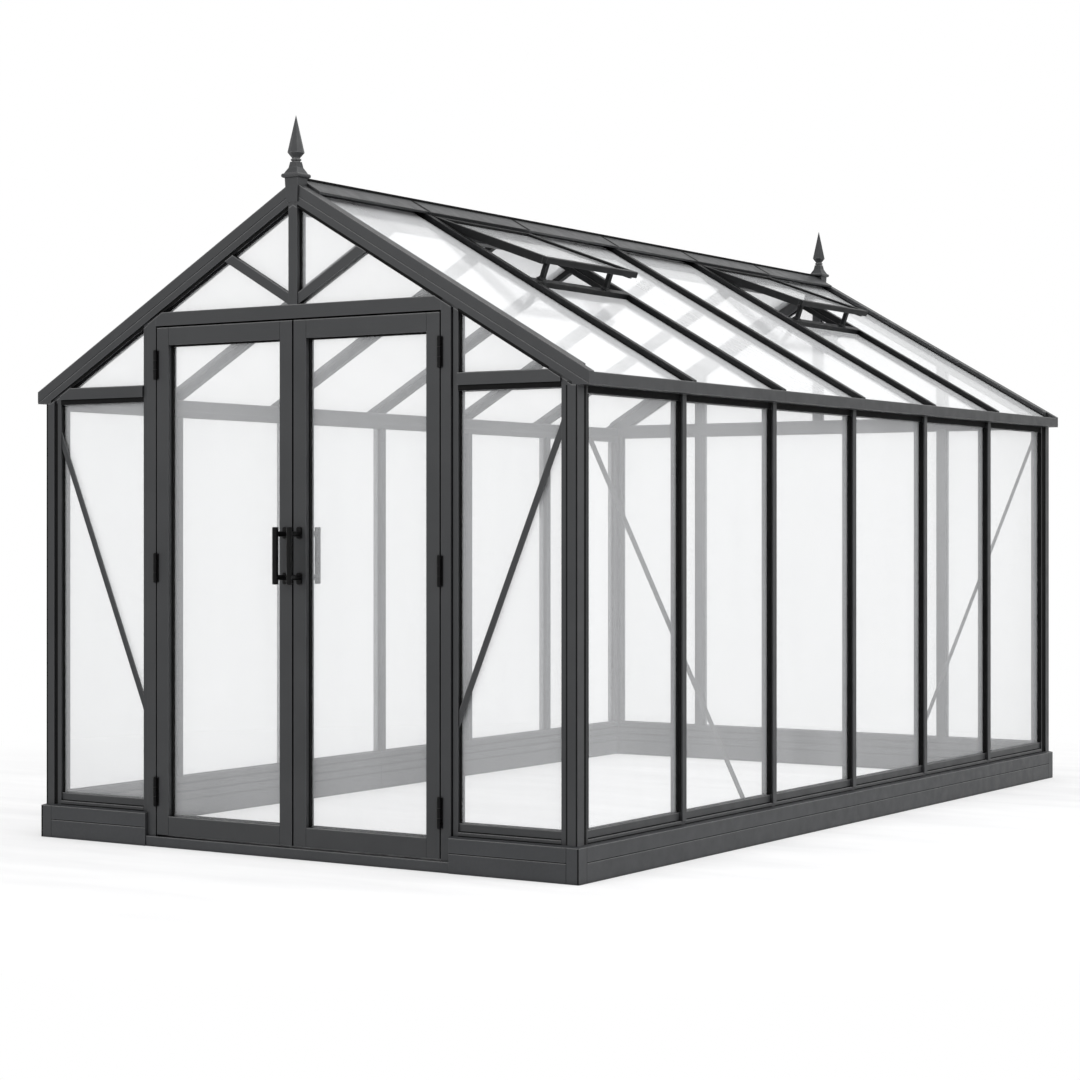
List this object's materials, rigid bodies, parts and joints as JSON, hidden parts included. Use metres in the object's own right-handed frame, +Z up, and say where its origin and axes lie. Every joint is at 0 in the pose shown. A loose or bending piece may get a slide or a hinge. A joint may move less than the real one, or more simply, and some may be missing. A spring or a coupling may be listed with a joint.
{
  "type": "glass greenhouse",
  "caption": "Apex-roofed glass greenhouse with a dark metal frame on a low plinth, hinged double doors in the front gable, open roof vents and a finial at each ridge end.",
  "frame": {"origin": "on the ground at the centre of the overall footprint, handles included", "axes": "+X to the right seen from the door gable, +Y from the door gable to the rear gable, +Z up"},
  "size_m": [2.504, 4.332, 2.6734],
  "materials": {
    "frame": "satin powder coat, anthracite grey",
    "plinth": "satin powder coat, anthracite grey",
    "black_fittings": "semi-gloss black",
    "glass": "clear, slightly hazy"
  },
  "bodies": {
    "building": {"corner_posts": "frame", "door_header": "frame", "door_jamb_hinges": "black_fittings", "door_jambs": "frame", "door_sill": "plinth", "door_stops": "frame", "eave_beams": "frame", "finials": "frame", "front_braces": "frame", "front_gable_glass": "glass", "front_gable_struts": "frame", "front_plinth": "plinth", "front_rafters": "frame", "gable_posts": "frame", "gable_rails": "frame", "gutters": "frame", "left_wall_rails": "frame", "plinth_corner_blocks": "plinth", "rear_gable_glass": "glass", "rear_plinth": "plinth", "rear_rafters": "frame", "ridge_beam": "frame", "ridge_cap": "frame", "right_wall_rails": "frame", "roof_bars": "frame", "roof_glass": "glass", "side_plinths": "plinth", "vent_cross_rails": "frame", "vent_end_bars": "frame", "vent_glass": "glass", "vent_side_bars": "frame", "vent_stays": "frame", "wall_braces": "frame", "wall_glass": "glass", "wall_posts": "frame"},
    "right_door": {"right_door_glass": "glass", "right_door_handles": "black_fittings", "right_door_hinges": "black_fittings", "right_door_rails": "frame", "right_door_stiles": "frame"},
    "left_door": {"left_door_glass": "glass", "left_door_handles": "black_fittings", "left_door_hinges": "black_fittings", "left_door_rails": "frame", "left_door_stiles": "frame"}
  },
  "joints": [
    {"name": "right_door_hinge", "type": "hinge", "parent": "building", "child": "right_door", "pos_m": [0.647, -2.103, 1.04], "axis": [0, 0, 1], "range_deg": [0, 110]},
    {"name": "left_door_hinge", "type": "hinge", "parent": "building", "child": "left_door", "pos_m": [-0.647, -2.103, 1.04], "axis": [0, 0, -1], "range_deg": [0, 110]}
  ]
}
